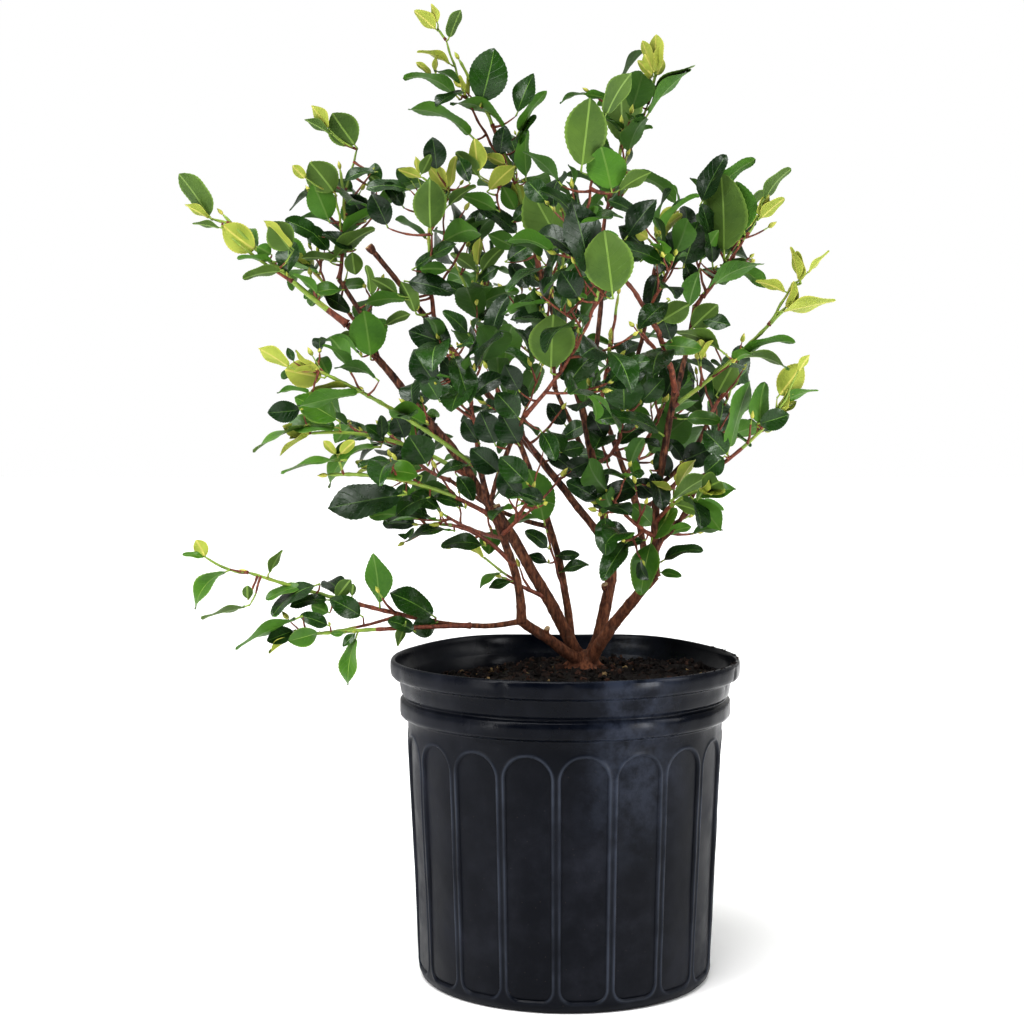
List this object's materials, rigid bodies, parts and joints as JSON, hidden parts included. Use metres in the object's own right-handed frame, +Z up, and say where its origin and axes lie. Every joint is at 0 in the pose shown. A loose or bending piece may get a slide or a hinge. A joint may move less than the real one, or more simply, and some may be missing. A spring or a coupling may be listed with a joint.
{
  "type": "potted camellia shrub",
  "caption": "Young evergreen camellia shrub with several stems from one root crown, in its ribbed black nursery pot, standing on the pot's flat underside.",
  "frame": {"origin": "centre of the pot's flat underside", "axes": "+Z up from the ground to the crown's top, -Y towards the side that shows the low bough on the left"},
  "size_m": [0.4919, 0.3983, 0.7505],
  "materials": {
    "pot_plastic": "satin black, moulded",
    "potting_soil": "loose composted bark, matt",
    "bark": "rough, matt",
    "foliage": "glossy evergreen leaf"
  },
  "bodies": {
    "root": {"pot": "pot_plastic", "soil": "potting_soil", "root_crown": "bark", "stem_left_low": "bark", "stem_left_main": "bark", "stem_centre_low": "bark", "stem_right_low": "bark", "bough_low_left": "bark", "stem_left_high": "bark", "bough_left_inner": "bark", "bough_front": "bark", "bough_left_top": "bark", "bough_back_left": "bark", "bough_back_left_low": "bark", "stem_centre_high": "bark", "bough_crossing": "bark", "bough_top_right": "bark", "bough_back_middle": "bark", "stem_right_high": "bark", "bough_back_right": "bark", "bough_back_right_low": "bark", "bough_right_side": "bark", "bough_right_middle": "bark", "bough_right_top": "bark", "bough_upper_middle": "bark", "leaves_low_left": "foliage", "leaves_low_left_under": "foliage", "leaves_low_centre": "foliage", "leaves_left_fringe": "foliage", "leaves_left_shoot_low": "foliage", "leaves_left_shoot_middle": "foliage", "leaves_left_shoot_high": "foliage", "leaves_left_inner": "foliage", "leaves_left_under": "foliage", "leaves_centre_low": "foliage", "leaves_far_left": "foliage", "leaves_left_between": "foliage", "leaves_left_top": "foliage", "leaves_back_left": "foliage", "leaves_back_left_low": "foliage", "leaves_upper_left": "foliage", "leaves_crossing": "foliage", "leaves_top_left": "foliage", "leaves_upper_centre": "foliage", "leaves_top_right": "foliage", "leaves_back_middle": "foliage", "leaves_front": "foliage", "leaves_front_right": "foliage", "leaves_centre": "foliage", "leaves_centre_right": "foliage", "leaves_inner_right": "foliage", "leaves_upper_middle": "foliage", "leaves_back_right": "foliage", "leaves_back_right_low": "foliage", "leaves_right_top": "foliage", "leaves_right_middle": "foliage", "leaves_right_shoot": "foliage", "leaves_right_side": "foliage", "leaves_right_fringe": "foliage", "leaves_front_right_low": "foliage"}
  },
  "joints": []
}
